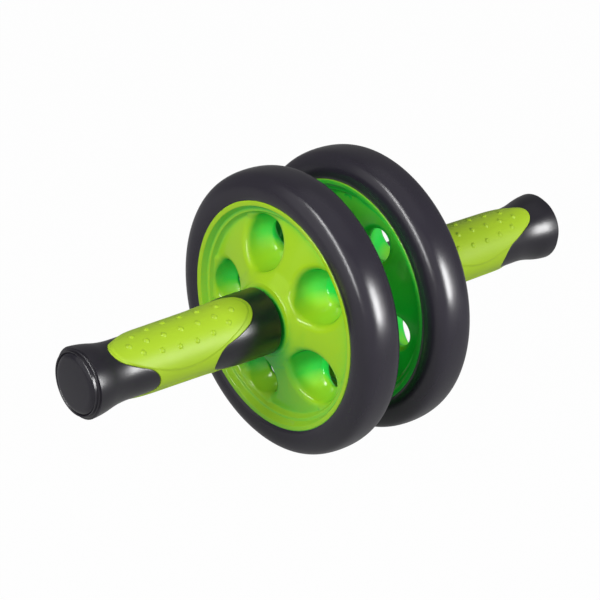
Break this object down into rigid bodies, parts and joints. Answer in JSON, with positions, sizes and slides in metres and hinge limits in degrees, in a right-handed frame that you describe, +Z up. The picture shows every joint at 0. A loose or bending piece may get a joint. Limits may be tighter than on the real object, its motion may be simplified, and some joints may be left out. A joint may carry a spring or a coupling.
{
  "type": "ab wheel roller",
  "caption": "Ab wheel roller: free rubber-tyred wheels with scooped green rims side by side on a rod, with a flared handle and a nubbed soft grip at each end.",
  "frame": {"origin": "on the floor under the middle of the axle rod, between the two wheels", "axes": "+X along the axle rod towards the right-hand handle, +Z up, +Y the way it rolls"},
  "size_m": [0.377, 0.18, 0.18],
  "materials": {
    "tyre_rubber": "satin dark rubber",
    "rim_plastic": "glossy lime green moulding",
    "handle_plastic": "satin dark moulding",
    "grip_rubber": "soft matt lime green",
    "cap_plastic": "glossy dark moulding",
    "rod_steel": "turned steel",
    "zinc_steel": "zinc plated",
    "bush_nylon": "natural nylon",
    "spacer_plastic": "dark moulding"
  },
  "bodies": {
    "handlebar": {"axle_rod": "rod_steel", "wheel_spacer": "spacer_plastic", "left_handle_core": "handle_plastic", "left_grip": "grip_rubber", "left_end_cap": "cap_plastic", "left_end_washer": "zinc_steel", "left_lock_nut": "zinc_steel", "left_outer_thrust_washer": "bush_nylon", "left_inner_thrust_washer": "bush_nylon", "right_handle_core": "handle_plastic", "right_grip": "grip_rubber", "right_end_cap": "cap_plastic", "right_end_washer": "zinc_steel", "right_lock_nut": "zinc_steel", "right_outer_thrust_washer": "bush_nylon", "right_inner_thrust_washer": "bush_nylon"},
    "left_wheel": {"left_tyre": "tyre_rubber", "left_outer_rim": "rim_plastic", "left_inner_rim": "rim_plastic", "left_rim_screws": "zinc_steel", "left_outer_bush": "bush_nylon", "left_inner_bush": "bush_nylon"},
    "right_wheel": {"right_tyre": "tyre_rubber", "right_outer_rim": "rim_plastic", "right_inner_rim": "rim_plastic", "right_rim_screws": "zinc_steel", "right_outer_bush": "bush_nylon", "right_inner_bush": "bush_nylon"}
  },
  "joints": [
    {"name": "left_wheel_spin", "type": "hinge", "parent": "handlebar", "child": "left_wheel", "pos_m": [-0.0286, 0, 0.09], "axis": [1, 0, 0], "continuous": true},
    {"name": "right_wheel_spin", "type": "hinge", "parent": "handlebar", "child": "right_wheel", "pos_m": [0.0286, 0, 0.09], "axis": [1, 0, 0], "continuous": true}
  ]
}
